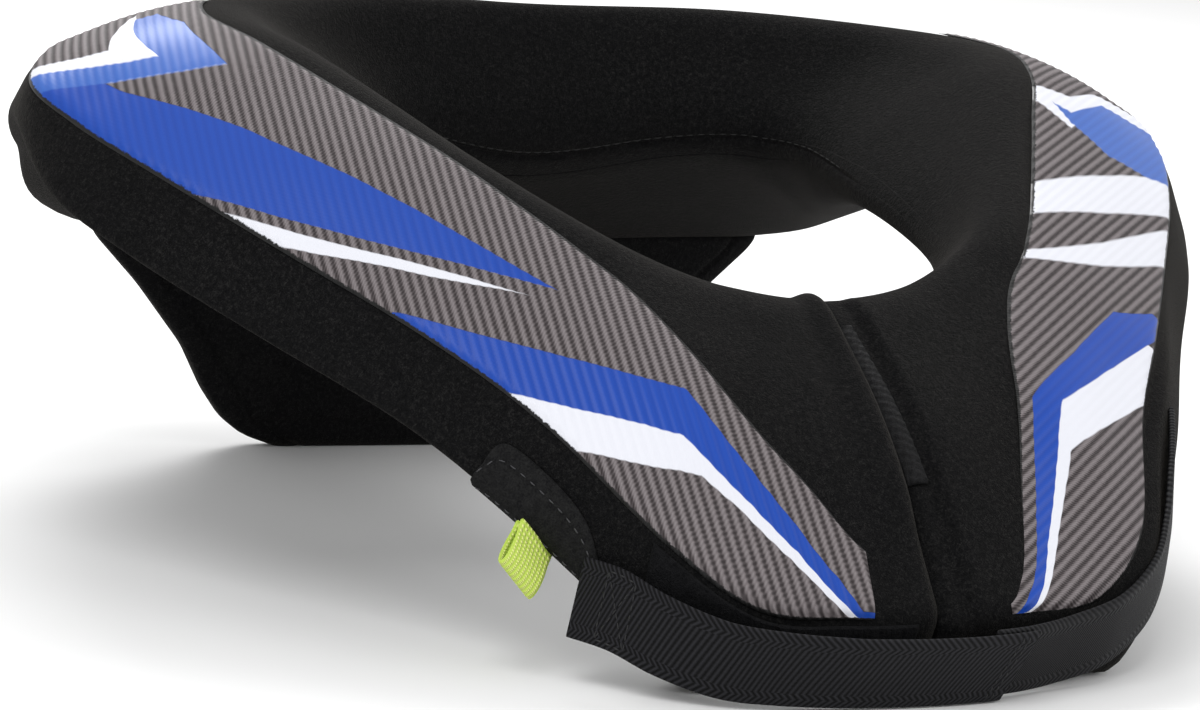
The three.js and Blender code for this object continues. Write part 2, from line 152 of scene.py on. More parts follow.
def smooth_step(low, high, value):
    """0 below low, 1 above high, and 3t2-2t3 between them."""
    t = np.clip((value - low) / (high - low), 0, 1)
    return t * t * (3 - 2 * t)


def own_station(place):
    """The station counted from the split on the nearer side."""
    return np.minimum(place, LAST_STATION - place)


def guide_rows(name):
    """One corner of all stations, then the mirrored other side back to the split."""
    side = np.array(stations[name], float) * SIZES
    side[:, 0] += SPLIT_GAP / 2
    side[-1, 0] = 0
    return np.concatenate([side, side[-2::-1] * [-1, 1, 1]])


def ground_height(back):
    """The ground under a place before the collar is tipped to stand on it."""
    return -back * math.tan(REST_TILT)


def stand(points):
    """Turns millimetres of the table into metres of the frame: tipped by REST_TILT about X, and
    moved so that the middle of the part is over the origin."""
    c, s = math.cos(REST_TILT), math.sin(REST_TILT)
    x, y, z = points[..., 0], points[..., 1], points[..., 2]
    return np.stack([x, y * c - z * s + GROUND_SHIFT, y * s + z * c], -1) / 1000


# %% [markdown]
# A section is a polygon whose corners are rounded with short quadratic curves. Each point of it
# keeps a number, q: four for each corner, so that 16 is where the rounding of the fifth corner
# starts. The sewn pieces use q to find their place on the skin.

# %% Rounded sections
def section_corners(place):
    """The eight corners at each place: seven from the table, and the crown of the pad, which is
    the middle of crest and edge pushed out by the swell."""
    named = {name: spline(guide_rows(name), place) for name in stations}
    for name in ("foot", "heel"):
        named[name][:, 2] = np.maximum(named[name][:, 2], ground_height(named[name][:, 1]))
    across = named["edge"] - named["crest"]
    run = np.hypot(across[:, 0], across[:, 1])
    crown = np.stack([-across[:, 0] * across[:, 2] / run, -across[:, 1] * across[:, 2] / run, run], 1)
    crown /= np.linalg.norm(crown, axis=1, keepdims=True)
    own_side = own_station(place)
    swell = np.interp(own_side, np.arange(BACK_STATION + 1), SWELL)[:, None] * PAD_THICKNESS
    named["top"] = (named["edge"] + named["crest"]) / 2 + crown * swell
    return np.stack([named[name] for name in CORNERS], 1)


def collar_points(place, q):
    """The skin at every pair of place (round the collar) and q (along the section), in table
    millimetres. At corner i, q from 4i to 4i+3 follows (1-t)2 start + 2t(1-t) corner + t2 finish,
    and from 4i+3 to 4i+4 the straight side to the next corner."""
    corners = section_corners(place)
    before, after = np.roll(corners, 1, 1), np.roll(corners, -1, 1)
    back, ahead = before - corners, after - corners
    reach_back = np.linalg.norm(back, axis=2, keepdims=True)
    reach_ahead = np.linalg.norm(ahead, axis=2, keepdims=True)
    wanted = CORNER_ROUND[None, :, None]
    start = corners + back * np.minimum(wanted, .44 * reach_back) / reach_back
    finish = corners + ahead * np.minimum(wanted, .44 * reach_ahead) / reach_ahead
    q = np.mod(q, Q_WHOLE)
    index = np.floor(q / 4).astype(int)
    local = (q - 4 * index)[None, :, None]
    t = np.clip(local / 3, 0, 1)
    curve = (1 - t)**2 * start[:, index] + 2 * t * (1 - t) * corners[:, index] + t**2 * finish[:, index]
    w = np.clip(local - 3, 0, 1)
    return curve * (1 - w) + start[:, (index + 1) % 8] * w


def skin(place, q):
    """collar_points with the soft rounding of the lobes at the split, and the step in one lobe
    that the other one closes over. Both move a point inwards, square to its own section."""
    points = collar_points(place, q)
    near = own_station(place)
    close = near < 1
    if not close.any():
        return points
    step = .05
    along = collar_points(place[close], q + step) - collar_points(place[close], q - step)
    inward = np.stack([np.zeros(along.shape[:2]), -along[..., 2], along[..., 1]], -1)
    inward /= np.maximum(np.linalg.norm(inward, axis=2, keepdims=True), 1e-9)
    rounding = SPLIT_ROUND * (1 - np.sqrt(1 - (1 - smooth_step(0, .24, near[close]))**2))
    along_pad = smooth_step(8, 10, q) * (1 - smooth_step(16, 19, q))
    one_lobe = (place[close] <= 1)[:, None]
    beside = 1 - smooth_step(RECESS_WIDTH - 1, RECESS_WIDTH + 2, points[close][..., 0])
    amount = rounding[:, None] + RECESS_DEPTH * along_pad[None, :] * beside * one_lobe
    points[close] += inward * amount[..., None]
    return points


def skin_normals(place, q):
    """Unit outward normals of the skin, the cross product of its two tangents."""
    place_step, q_step = .06, .4
    low, high = (np.clip(place + step, 0, LAST_STATION) for step in (-place_step, place_step))
    round_it = skin(high, q) - skin(low, q)
    along = skin(place, q + q_step) - skin(place, q - q_step)
    normal = np.cross(along, round_it)
    return normal / np.maximum(np.linalg.norm(normal, axis=-1, keepdims=True), 1e-9)


# %% [markdown]
# A grid of points becomes a mesh in one call. Quads join each point to its neighbours, and a grid
# that closes on itself takes its last quads back to the first points.

# %% From grids to meshes
def grid_faces(rows, columns, closed=False, first=0):
    """Quads between neighbouring points of a rows by columns grid, as an array."""
    wide = columns if closed else columns - 1
    i, j = np.meshgrid(np.arange(rows - 1), np.arange(wide), indexing="ij")
    k = (j + 1) % columns
    near, far = i * columns, (i + 1) * columns
    return np.stack([near + j, near + k, far + k, far + j], -1).reshape(-1, 4) + first


def tube_faces(rows, columns):
    """Faces of a tube: quads that close round each row, and a cap over both ends."""
    around = [tuple(face) for face in grid_faces(rows, columns, closed=True)]
    last = (rows - 1) * columns
    return around + [tuple(range(columns)), tuple(reversed(range(last, last + columns)))]


def make_mesh(name, points, faces, uv=None):
    """A smooth-shaded object from points in metres and lists of corners. uv is one pair a point,
    and faces are turned where needed so that they point outwards."""
    mesh = bpy.data.meshes.new(name)
    mesh.from_pydata(np.asarray(points).reshape(-1, 3).tolist(), [], [list(face) for face in faces])
    mesh.update()
    if uv is not None:
        corner_point = np.empty(len(mesh.loops), dtype=np.int32)
        mesh.loops.foreach_get("vertex_index", corner_point)
        layer = mesh.uv_layers.new(name="print")
        layer.data.foreach_set("uv", np.asarray(uv).reshape(-1, 2)[corner_point].ravel())
    bm = bmesh.new()
    bm.from_mesh(mesh)
    bmesh.ops.recalc_face_normals(bm, faces=bm.faces)
    bm.to_mesh(mesh)
    bm.free()
    mesh.shade_smooth()
    obj = bpy.data.objects.new(name, mesh)
    scene.collection.objects.link(obj)
    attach(obj, "root")
    return obj


def unit(vectors):
    """Vectors scaled to length one."""
    return vectors / np.maximum(np.linalg.norm(vectors, axis=-1, keepdims=True), 1e-12)


def cell_lengths(grid, axis):
    """Length of each cell of a grid along one of its two axes."""
    return np.linalg.norm(np.gradient(grid, axis=axis), axis=2)


def between(grid, index, share):
    """The points of each row that lie a share of the way from one column to the next."""
    a = np.take_along_axis(grid, index[..., None], 1)
    b = np.take_along_axis(grid, index[..., None] + 1, 1)
    return a * (1 - share) + b * share


def pairs(along, across):
    """A grid of (along, across) pairs, for a map."""
    return np.stack(np.broadcast_arrays(along[:, None], across[None, :]), -1)


# %% [markdown]
# Black fleece isn't black paint. Its nap is short brushed fibre: it swallows light where it is
# seen straight on, and shows a brownish grey bloom where light grazes it. A dark base, fine
# clumped noise in colour and bump, and the shader's own sheen give that.

# %% Node helpers
def new_material(name, roughness):
    """A material, its node tree, its shader and its Object coordinates."""
    material = bpy.data.materials.new(name)
    material.use_nodes = True
    tree = material.node_tree
    shader = tree.nodes["Principled BSDF"]
    shader.inputs["Roughness"].default_value = roughness
    place = tree.nodes.new("ShaderNodeTexCoord")
    return material, tree, shader, place.outputs["Object"]


def feed(tree, socket, value):
    """Links an output to the socket, or sets the socket to a number or a tuple."""
    if isinstance(value, bpy.types.NodeSocket):
        tree.links.new(value, socket)
    else:
        socket.default_value = value


def math_node(tree, operation, a, b=0.5, clamp=False):
    """One Math node; a and b are sockets or numbers."""
    node = tree.nodes.new("ShaderNodeMath")
    node.operation = operation
    node.use_clamp = clamp
    feed(tree, node.inputs[0], a)
    feed(tree, node.inputs[1], b)
    return node.outputs[0]


def dot(tree, vector, direction):
    """The dot product of a vector socket and a fixed direction."""
    node = tree.nodes.new("ShaderNodeVectorMath")
    node.operation = "DOT_PRODUCT"
    tree.links.new(vector, node.inputs[0])
    node.inputs[1].default_value = direction
    return node.outputs["Value"]


def noise(tree, vector, scale, detail=2.0, roughness=0.5):
    """Noise of about 0 to 1 with the given scale in waves a metre."""
    node = tree.nodes.new("ShaderNodeTexNoise")
    node.inputs["Scale"].default_value = scale
    node.inputs["Detail"].default_value = detail
    node.inputs["Roughness"].default_value = roughness
    tree.links.new(vector, node.inputs["Vector"])
    return node.outputs["Fac"]


def ramp(tree, value, stops):
    """A Color Ramp; stops are (position, (r, g, b))."""
    node = tree.nodes.new("ShaderNodeValToRGB")
    node.color_ramp.elements[0].position = stops[0][0]
    node.color_ramp.elements[0].color = (*stops[0][1], 1)
    node.color_ramp.elements[1].position = stops[-1][0]
    node.color_ramp.elements[1].color = (*stops[-1][1], 1)
    for position, color in stops[1:-1]:
        node.color_ramp.elements.new(position).color = (*color, 1)
    tree.links.new(value, node.inputs["Fac"])
    return node.outputs["Color"]


def blend_color(tree, factor, a, b):
    """Mixes two colours; each is a socket or (r, g, b)."""
    node = tree.nodes.new("ShaderNodeMix")
    node.data_type = "RGBA"
    tree.links.new(factor, node.inputs["Factor"])
    for name, value in (("A", a), ("B", b)):
        socket = [s for s in node.inputs if s.name == name and s.type == "RGBA"][0]
        feed(tree, socket, (*value, 1) if isinstance(value, tuple) else value)
    return [s for s in node.outputs if s.type == "RGBA"][0]


def add_bump(tree, shader, height, distance, strength=1.0):
    """Height in 0 to 1 raised by distance in metres, into the shader's normal."""
    node = tree.nodes.new("ShaderNodeBump")
    node.inputs["Distance"].default_value = distance
    node.inputs["Strength"].default_value = strength
    tree.links.new(height, node.inputs["Height"])
    tree.links.new(node.outputs["Normal"], shader.inputs["Normal"])


def wave(tree, phase):
    """0.5 + 0.5 cos of the phase, counted in whole waves."""
    turned = math_node(tree, "COSINE", math_node(tree, "MULTIPLY", phase, math.tau))
    return math_node(tree, "MULTIPLY_ADD", turned, 0.5)


def read_map(tree):
    """The two numbers of the piece's own map, which is called print."""
    uv = tree.nodes.new("ShaderNodeUVMap")
    uv.uv_map = "print"
    split = tree.nodes.new("ShaderNodeSeparateXYZ")
    tree.links.new(uv.outputs["UV"], split.inputs[0])
    return split.outputs[0], split.outputs[1]


def weighted(tree, *terms):
    """The sum of (value, weight) pairs; each is a socket or a number."""
    total = None
    for value, weight in terms:
        part = math_node(tree, "MULTIPLY", value, weight)
        total = part if total is None else math_node(tree, "ADD", total, part)
    return total


def centred(tree, value):
    """Noise moved to lie about 0 instead of 0.5."""
    return math_node(tree, "SUBTRACT", value, 0.5)


def rest_of(tree, value):
    """1 minus the value."""
    return math_node(tree, "SUBTRACT", 1.0, value)


# %% The fleece
def fleece_material():
    """Nap is two sizes of noise, clumps near 1 mm and fibres near 0.4 mm, with slow broad patches."""
    material, tree, shader, place = new_material("fleece", 0.95)
    clump = noise(tree, place, 900, 3, 0.6)
    fibre = noise(tree, place, 2600, 2, 0.7)
    patchy = noise(tree, place, 28, 2)
    nap = weighted(tree, (clump, 0.45), (fibre, 0.55), (centred(tree, patchy), 0.08))
    color = ramp(tree, nap, [(0.34, (0.0022, 0.0023, 0.0026)), (0.52, (0.0062, 0.0062, 0.0065)),
                             (0.70, (0.021, 0.0205, 0.020))])
    tree.links.new(color, shader.inputs["Base Color"])
    shader.inputs["Specular IOR Level"].default_value = 0.06
    shader.inputs["Sheen Weight"].default_value = 0.085
    shader.inputs["Sheen Roughness"].default_value = 0.30
    shader.inputs["Sheen Tint"].default_value = (0.72, 0.66, 0.58, 1)
    add_bump(tree, shader, nap, 0.0007, 0.9)
    return material


fleece = fleece_material()
print("fleece ready")

# %% [markdown]
# The collar is one grid: places round it by points of q. Places crowd together at the split, where
# the lobes round off, and q has extra points at the sewn seam inside the rear wall, so that the
# groove there is real geometry.

# %% The collar
SEAM_DEPTH = 0.6
SEAM_SPREAD = 0.11
FOAM_UNEVEN = 0.14
SPLIT_ROLL = 1.5
WALL_FULLER = 3.4
near_split = np.array([0, .02, .05, .09, .14, .19, .24, .3, .36, .43, .5, .58, .66, .75, .83, .92])
one_side = np.concatenate([near_split, np.arange(1, BACK_STATION + .001, 1 / 13)])
collar_places = np.concatenate([one_side, LAST_STATION - one_side[-2::-1]])


def seam_q(place):
    """Where the sewn seam inside the rear wall runs: along the seam corner, and down at its ends."""
    return np.interp(own_station(place), [7.2, 7.8, 9, 10, 12], [4.2, 4.5, 5.0, 5.2, 5.2])


def relief(points, place, q):
    """Soft unevenness of stuffed foam under cloth, in millimetres: three long waves added up, a roll
    along the wearer's right side of the split, and a fuller lower wall behind the strap's far end."""
    x, y, z = points[..., 0], points[..., 1], points[..., 2]
    waves = np.sin(x / 17 + y / 23) + np.sin(y / 13 - z / 19 + 1.3) + np.sin(z / 11 + x / 29 + 4.1)
    top_band = smooth_step(5, 8, q) * (1 - smooth_step(14.5, 16, q))
    from_split = LAST_STATION - place
    roll = SPLIT_ROLL * smooth_step(0, .12, from_split) * (1 - smooth_step(.2, .75, from_split))
    low_band = smooth_step(17.6, 19.2, q) * (1 - smooth_step(20.5, 23, q))
    fuller = WALL_FULLER * smooth_step(1.7, 2.8, place) * (1 - smooth_step(4.2, 6, place))
    return (FOAM_UNEVEN * waves * smooth_step(.3, 1.2, own_station(place))[:, None]
            + roll[:, None] * top_band + fuller[:, None] * low_band)


def make_collar():
    """The skin moved along its normals by relief minus the seam's groove, depth * exp(-d2), where d
    is the distance from the seam in q over its spread. It stays put where it stands on the floor."""
    fine = np.arange(0, Q_WHOLE, .25)
    q = np.unique(np.concatenate([fine, np.arange(3.9, 5.7, .03)]))
    points = skin(collar_places, q)
    normals = skin_normals(collar_places, q)
    from_seam = (q[None, :] - seam_q(collar_places)[:, None]) / SEAM_SPREAD
    fade = smooth_step(7.3, 8.2, own_station(collar_places))
    groove = SEAM_DEPTH * np.exp(-from_seam**2) * fade[:, None]
    standing = smooth_step(0, 2, stand(points)[..., 2] * 1000)
    points = points + normals * ((relief(points, collar_places, q) - groove) * standing)[..., None]
    collar = make_mesh("fleece_collar", stand(points), tube_faces(*points.shape[:2]))
    collar.data.materials.append(fleece)
    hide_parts("collar")
    return collar


collar = make_collar()
print("collar faces:", len(collar.data.polygons))

# %% [markdown]
# The shoulder panels are cloth laid on the foam. Each follows the skin from an inner edge, given
# as a share of the pad's width at some stations, to the rounding of its outer edge. Its ribs are
# planes cut through the lobe at equal steps, so they bend as real ribs do.

# %% The shoulder panels
RIB_PITCH = 0.0023
RIB_RELIEF = 0.22
THREAD_PITCH = 0.0007
THREAD_SLANT = 0.8
PANEL_LIFT = 0.15
PANEL_THICKNESS = 0.5
PANEL_FROM, PANEL_TO = 0.8, 9.7
EDGE_CORNER_Q = 16
PANEL_OUTER_Q = 17.5
INNER_EDGE = {
    "left": [(.8, 1.04), (1, 1.02), (1.15, .94), (1.3, .81), (1.6, .665), (2, .535), (3, .33),
             (4, .195), (5, .13), (6, .08), (8, .09), (9.7, .1)],
    "right": [(.8, .89), (1, .81), (1.3, .68), (2, .51), (3, .35), (4, .21), (5, .13), (6, .08),
              (8, .09), (9.7, .1)],
}
RIB_ACROSS = {
    "left": Vector((-.57, .59, .57)).normalized(),
    "right": Vector((.84, -.39, .37)).normalized(),
}


def resample(points, wanted):
    """Moves each row's points to the wanted lengths along it: between two known points the place
    is shared out in proportion, which is linear interpolation by length."""
    steps = np.linalg.norm(np.diff(points, axis=1), axis=2)
    length = np.concatenate([np.zeros((len(points), 1)), np.cumsum(steps, 1)], 1)
    wanted = wanted * length[:, -1:] if wanted.ndim == 1 else wanted
    index = (length[:, None, :] <= wanted[:, :, None]).sum(-1) - 1
    index = np.clip(index, 0, points.shape[1] - 2)
    low = np.take_along_axis(length, index, 1)
    step = np.take_along_axis(steps, index, 1)
    return between(points, index, np.clip((wanted - low) / np.maximum(step, 1e-9), 0, 1)[..., None])


def row_lengths(points):
    """Whole length of each row."""
    return np.linalg.norm(np.diff(points, axis=1), axis=2).sum(1)


def grid_normals(points, outward):
    """Unit normals of an open grid, the cross product of its two slopes, on outward's side."""
    normal = unit(np.cross(np.gradient(points, axis=0), np.gradient(points, axis=1)))
    return normal * np.sign(np.sum(normal * outward, axis=-1, keepdims=True))


def shell(base, normals, low, high, uv=None):
    """A closed thin sheet: the grid raised by high, and the same grid raised by low turned over,
    joined all round by one wall of faces. low and high are numbers or grids."""
    rows, columns = base.shape[:2]
    high = np.broadcast_to(high, (rows, columns))[..., None]
    low = np.broadcast_to(low, (rows, columns))[..., None]
    over, under = base + normals * high, base + normals * low
    count = rows * columns
    faces = np.concatenate([grid_faces(rows, columns), grid_faces(rows, columns, first=count)[:, ::-1]])
    index = np.arange(count).reshape(rows, columns)
    border = np.concatenate([index[0], index[1:, -1], index[-1, -2::-1], index[-2:0:-1, 0]])
    after = np.roll(border, -1)
    walls = np.stack([border, after, after + count, border + count], 1)
    points = np.concatenate([over.reshape(-1, 3), under.reshape(-1, 3)])
    if uv is not None:
        uv = np.concatenate([uv.reshape(-1, 2)] * 2)
    return points, np.concatenate([faces, walls]), uv


def smooth_edge(side, own_side):
    """The inner edge's share at each place: a straight line between rows, softened by taking the
    mean of nearby places."""
    table = np.array(INNER_EDGE[side])
    shifts = np.linspace(-.3, .3, 7)
    return np.mean([np.interp(own_side + s, table[:, 0], table[:, 1]) for s in shifts], 0)


def make_panel(side):
    """A shell on the skin from the inner edge to the outer one. Its outer face carries ribs of
    relief * (1 + cos) / 2 of the place across the rib planes, and all its borders thin out."""
    own_side = np.linspace(PANEL_FROM, PANEL_TO, 620)
    place = own_side if side == "left" else LAST_STATION - own_side
    q = np.arange(10, PANEL_OUTER_Q + .001, .125)
    points = skin(place, q)
    outward = skin_normals(place, q)
    to_edge = row_lengths(points[:, q <= EDGE_CORNER_Q])
    start = smooth_edge(side, own_side) * to_edge
    whole = row_lengths(points)
    share = np.linspace(0, 1, 64)
    wanted = start[:, None] + share[None, :] * (whole - start)[:, None]
    base = resample(points, wanted)
    normals = grid_normals(base, resample(outward, share))
    phase = stand(base) @ np.array(RIB_ACROSS[side]) / RIB_PITCH
    width = (whole - start)[:, None]
    from_side = np.minimum(share[None, :], 1 - share[None, :]) * width
    lengths = cell_lengths(base, 0)
    run = lengths[:, :1].cumsum(0)
    from_end = np.minimum(run, run[-1] - run)
    border = smooth_step(0, 2.2, np.minimum(from_side, from_end))
    ribs = RIB_RELIEF * (.5 + .5 * np.cos(phase * math.tau)) * border
    high = PANEL_LIFT + .1 + (PANEL_THICKNESS - .1) * border + ribs
    vertices, faces, uv = shell(base, normals, PANEL_LIFT, high, pairs(own_side / 10, share))
    panel = make_mesh("shoulder_panel_" + side, stand(vertices), faces, uv)
    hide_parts("print_panel_" + side)
    return panel


panels = {side: make_panel(side) for side in ("left", "right")}

# %% [markdown]
# The print is a set of stripes. A stripe is everything between two lines that bend at a few rows:
# a Color Ramp holds the first line in its red and the second in its green, and cloth between the
# two is inside. The rows are stations along the panel, or shares across it for a cross stripe.

# %% The printed stripes
BLUE = (0.004, 0.058, 0.39)
PALE_BLUE = (0.035, 0.125, 0.48)
WHITE = (0.72, 0.73, 0.79)
LINE_SCALE = 1.2
STRIPE_EDGE = 0.006
CROSS_EDGE = 0.003


def stripe(tree, along, across, rows, softness=STRIPE_EDGE):
    """1 between the two lines of rows (along, first, second), 0 outside. A ramp's colours stop at
    1 and some lines go past it, so it holds them over LINE_SCALE."""
    stops = [(row[0], (row[1] / LINE_SCALE, row[2] / LINE_SCALE, 0)) for row in rows]
    lines = ramp(tree, along, stops)
    split = tree.nodes.new("ShaderNodeSeparateColor")
    tree.links.new(lines, split.inputs[0])
    value = math_node(tree, "DIVIDE", across, LINE_SCALE)
    from_first = math_node(tree, "SUBTRACT", value, split.outputs[0])
    from_second = math_node(tree, "SUBTRACT", split.outputs[1], value)
    inside = math_node(tree, "MINIMUM", from_first, from_second)
    return math_node(tree, "DIVIDE", inside, softness, clamp=True)


BLUE_STRIPES = {
    "right": [
        [(.447, .33, .33), (.487, .36, .44), (.52, .38, .54), (.575, .41, .72), (.625, .45, .87),
         (.682, .52, 1.01), (.70, .535, 1.1), (.747, .61, 1.1), (.80, .72, 1.1), (.825, .74, 1.1),
         (.845, .84, 1.1), (.865, .97, 1.1), (.88, 1.15, 1.15)],
        [(.095, .91, 1.0), (.10, .84, .98), (.115, .65, .87), (.138, .51, .70), (.16, .39, .58),
         (.187, .32, .51), (.215, .28, .475), (.25, .26, .47), (.302, .235, .47), (.307, .235, .49),
         (.335, .34, .59), (.36, .44, .70), (.385, .54, .82), (.407, .62, .91), (.432, .695, .99),
         (.482, .84, 1.1), (.527, .97, 1.1), (.54, 1.15, 1.15)],
    ],
    "left": [
        [(.085, .99, 1.0), (.093, .68, 1.0), (.105, .51, .90), (.12, .43, .72), (.142, .32, .56),
         (.16, .245, .47), (.18, .19, .42), (.202, .145, .38), (.227, .125, .35), (.267, .12, .33),
         (.307, .215, .34), (.342, .31, .46), (.377, .42, .60), (.41, .50, .72), (.447, .57, .83),
         (.477, .63, .92), (.50, .78, 1.0), (.522, .93, 1.0), (.53, 1.15, 1.15)],
    ],
}
WHITE_STRIPES = {
    "right": [
        [(.46, .45, .45), (.487, .52, .54), (.51, .58, .63), (.53, .64, .71), (.55, .70, .78),
         (.567, .76, .85), (.585, .82, .93), (.605, .88, .99), (.625, .93, 1.1), (.657, 1.0, 1.1),
         (.67, 1.15, 1.15)],
        [(.10, .96, 1.0), (.11, .87, .98), (.125, .76, .88), (.145, .62, .745), (.167, .52, .65),
         (.187, .48, .60), (.207, .45, .57), (.23, .44, .55), (.277, .44, .57), (.302, .44, .65),
         (.332, .55, .78), (.355, .65, .89), (.375, .745, .99), (.385, .79, 1.1), (.407, .88, 1.1),
         (.432, .96, 1.1), (.45, 1.15, 1.15)],
    ],
    "left": [
        [(.10, .97, 1.02), (.112, .75, .90), (.125, .64, .80), (.142, .53, .69), (.16, .44, .60),
         (.182, .39, .52), (.202, .35, .48), (.227, .32, .45), (.267, .30, .43), (.297, .305, .51),
         (.327, .38, .61), (.355, .48, .73), (.382, .59, .86), (.415, .70, 1.0), (.447, .80, 1.1),
         (.477, .89, 1.1), (.50, 1.15, 1.15)],
    ],
}
BLUE_CROSS = {
    "right": [(0, .90, .86), (.13, .90, .87), (.26, .777, .93), (.39, .785, .93), (.44, .788, .828),
              (.57, .80, .838), (.71, .815, .856), (.85, .835, .876), (1, .857, .895)],
    "left": [(0, .77, .75), (.25, .715, .74), (.5, .69, .80), (.8, .70, .82), (1, .72, .835)],
}
WHITE_CROSS = {
    "right": [[(.34, .92, .89), (.40, .88, .95), (.43, .82, .94), (.52, .82, .90), (.58, .828, .872),
               (.71, .845, .882), (.85, .865, .897), (1, .885, .912)]],
    "left": [[(0, .545, .60), (.5, .60, .66), (1, .665, .735)],
             [(0, .462, .482), (.5, .522, .560), (1, .592, .65)],
             [(0, .735, .77), (.25, .705, .775), (.5, .79, .83), (1, .825, .875)]],
}


def union(tree, masks):
    """The largest of several masks."""
    result = masks[0]
    for mask in masks[1:]:
        result = math_node(tree, "MAXIMUM", result, mask)
    return result


def panel_material(side):
    """Ribs and slanted threads are waves of the place across the rib planes. The rib wave also paints
    shade into the grooves and light onto the rib tops, in the cloth and in the blue film. The film of
    the print covers them, and raw black edges fray by noise along both long sides."""
    material, tree, shader, place = new_material("ribbed_print_" + side, 0.55)
    along, across = read_map(tree)
    d = RIB_ACROSS[side]
    rib_line = d.cross(Vector((0, 0, 1))).normalized()
    rib = wave(tree, dot(tree, place, tuple(d / RIB_PITCH)))
    thread = wave(tree, dot(tree, place, tuple((rib_line + d * THREAD_SLANT) / THREAD_PITCH)))
    speckle = noise(tree, place, 900, 2, .6)
    weave = weighted(tree, (rib, .72), (thread, .28), (centred(tree, speckle), .35))
    # The cloth's colour follows the rib wave, with painted shade in the grooves and painted light on the
    # rib tops. The slanted threads and the speckle are the cloth's own texture.
    cloth = ramp(tree, weave, [(.05, (.024, .018, .019)), (.30, (.060, .050, .052)),
                               (.52, (.125, .107, .110)), (.95, (.205, .182, .188))])
    blue = union(tree, [stripe(tree, along, across, rows) for rows in BLUE_STRIPES[side]])
    cross_blue = stripe(tree, across, along, BLUE_CROSS[side], CROSS_EDGE)
    white = union(tree, [stripe(tree, along, across, rows) for rows in WHITE_STRIPES[side]]
                  + [stripe(tree, across, along, rows, CROSS_EDGE) for rows in WHITE_CROSS[side]])
    # Painted shade on the print: both film blues are darker in the grooves between the ribs and lighter
    # on the rib tops.
    rib_painted_shade = math_node(tree, "MULTIPLY", rib, 0.7)
    film_blue = blend_color(tree, rib_painted_shade, (0.003, 0.048, 0.34), BLUE)
    film_pale = blend_color(tree, rib_painted_shade, (0.028, 0.105, 0.43), PALE_BLUE)
    color = blend_color(tree, white, cloth, WHITE)
    color = blend_color(tree, blue, color, film_blue)
    color = blend_color(tree, cross_blue, color, film_pale)
    ragged = noise(tree, place, 1100, 3, .7)
    inner = math_node(tree, "SUBTRACT", across, math_node(tree, "MULTIPLY", ragged, .035))
    outer = math_node(tree, "SUBTRACT", rest_of(tree, across), math_node(tree, "MULTIPLY", ragged, .030))
    cover = math_node(tree, "DIVIDE", math_node(tree, "MINIMUM", inner, outer), .006, clamp=True)
    color = blend_color(tree, cover, (.006, .006, .006), color)
    tree.links.new(color, shader.inputs["Base Color"])
    film = union(tree, [blue, cross_blue, white])
    rough = math_node(tree, "SUBTRACT", .62, math_node(tree, "MULTIPLY", film, .22))
    tree.links.new(rough, shader.inputs["Roughness"])
    shader.inputs["Specular IOR Level"].default_value = .28
    bare = rest_of(tree, math_node(tree, "MULTIPLY", film, .93))
    height = math_node(tree, "MULTIPLY", weave, bare)
    add_bump(tree, shader, height, 0.00035, .8)
    return material


for side, panel in panels.items():
    panel.data.materials.append(panel_material(side))
print("print ready")

# %% [markdown]
# The tongue behind is a flat pad. Its outline is a line of half widths against height, and each
# height is a flattened oval, so the border is round and the faces are nearly flat. A sewn line
# runs a finger's width inside its border.

# %% The tongue
FLAP_THICKNESS = 9.0
FLAP_TOP = 0.548
FLAP_TALL = 60.0
FLAP_DRAW_LOW, FLAP_DRAW_TOP = 4.0, 2.5
FLAP_LINE_SIDE, FLAP_LINE_LOW = 9.0, 8.0
FLAP_LINE_DEPTH, FLAP_LINE_SPREAD = 0.8, 1.1
FLAP_BORDER = [(0, .25), (.025, .31), (.07, .355), (.14, .395), (.245, .44), (.39, .53),
               (.465, .585), (.503, .613), (.55, .63)]


